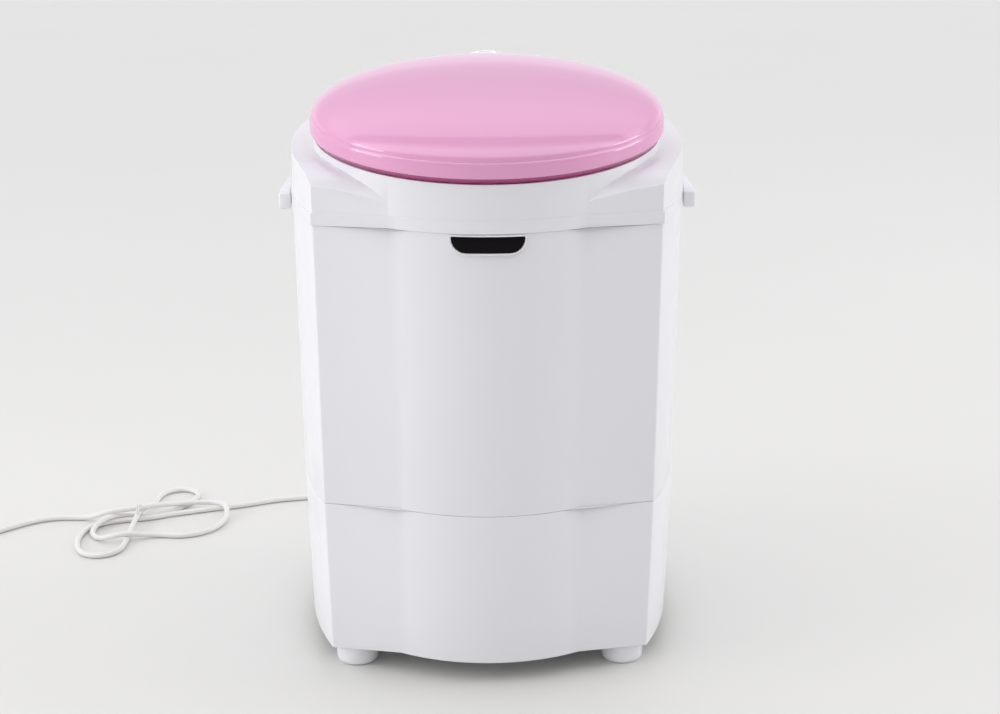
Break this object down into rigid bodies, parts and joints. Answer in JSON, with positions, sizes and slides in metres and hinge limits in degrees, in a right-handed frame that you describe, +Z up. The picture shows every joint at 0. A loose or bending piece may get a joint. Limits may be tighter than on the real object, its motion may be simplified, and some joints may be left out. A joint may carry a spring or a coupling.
{
  "type": "portable mini washer",
  "caption": "Small upright pulsator washing machine: white tapered casing with a rounded front, a tilted round pink lid, a rear timer knob and a tied-up mains cord.",
  "frame": {"origin": "middle of the machine's footprint, cord left out, on the surface that it stands on", "axes": "+Z up, -Y towards the front with the badge, +X to the right seen from the front"},
  "size_m": [0.8431, 0.5238, 0.5265],
  "materials": {
    "white_plastic": "semi-gloss moulded",
    "inner_plastic": "satin moulded",
    "pink_plastic": "high gloss",
    "black_gloss": "high gloss",
    "chrome_trim": "mirror",
    "grey_plastic": "matt",
    "steel": "plated",
    "alloy": "as cast",
    "bronze": "sintered",
    "rubber": "matt",
    "cord_pvc": "satin flexible PVC"
  },
  "bodies": {
    "casing": {"badge_frame": "chrome_trim", "badge_plate": "black_gloss", "base_housing": "white_plastic", "bearing_housing": "alloy", "body_shell": "white_plastic", "bottom_cover": "grey_plastic", "bracket_bolt_1": "steel", "bracket_bolt_2": "steel", "capacitor": "inner_plastic", "capacitor_lead": "grey_plastic", "capacitor_strap": "steel", "cord_loops": "cord_pvc", "cord_tie": "cord_pvc", "cord_to_loops": "cord_pvc", "cord_to_plug": "cord_pvc", "cover_screw_1": "steel", "cover_screw_2": "steel", "cover_screw_3": "steel", "cover_screw_4": "steel", "drain_collar": "inner_plastic", "drain_pipe": "grey_plastic", "drain_spout": "inner_plastic", "drain_strainer": "inner_plastic", "drive_belt": "rubber", "foot_front_left": "white_plastic", "foot_front_right": "white_plastic", "foot_rear_left": "white_plastic", "foot_rear_right": "white_plastic", "grip_left": "white_plastic", "grip_right": "white_plastic", "hinge_bracket": "white_plastic", "hinge_pin": "steel", "lower_bush": "bronze", "mains_lead": "cord_pvc", "motor_body": "alloy", "motor_bracket": "steel", "motor_lead": "grey_plastic", "plug_body": "cord_pvc", "plug_pin_left": "steel", "plug_pin_right": "steel", "shaft_seal": "rubber", "strain_relief": "cord_pvc", "timer_body": "grey_plastic", "top_deck": "white_plastic", "upper_bush": "bronze", "wash_tub": "inner_plastic"},
    "lid": {"lid_shell": "pink_plastic", "lid_liner": "inner_plastic", "lid_hinge_leaf_left": "white_plastic", "lid_hinge_leaf_right": "white_plastic"},
    "timer": {"timer_knob": "white_plastic", "knob_ring": "chrome_trim", "timer_shaft": "steel"},
    "pulsator": {"pulsator": "inner_plastic", "pulsator_screw": "steel", "pulsator_shaft": "steel", "large_pulley": "alloy"},
    "motor": {"motor_shaft": "steel", "motor_pulley": "alloy"}
  },
  "joints": [
    {"name": "lid_hinge", "type": "hinge", "parent": "casing", "child": "lid", "pos_m": [0, 0.129, 0.51], "axis": [-1, 0, 0], "range_deg": [0, 100]},
    {"name": "timer_turn", "type": "hinge", "parent": "casing", "child": "timer", "pos_m": [0, 0.1535, 0.505], "axis": [0, 0, -1], "range_deg": [0, 300]},
    {"name": "pulsator_spin", "type": "hinge", "parent": "casing", "child": "pulsator", "pos_m": [0, -0.034, 0], "axis": [0, 0, 1], "continuous": true},
    {"name": "motor_spin", "type": "hinge", "parent": "casing", "child": "motor", "pos_m": [0.082, 0.052, 0], "axis": [0, 0, 1], "continuous": true}
  ],
  "couplings": [
    {"joint": "motor_spin", "follows": "pulsator_spin", "ratio": 4.8}
  ]
}
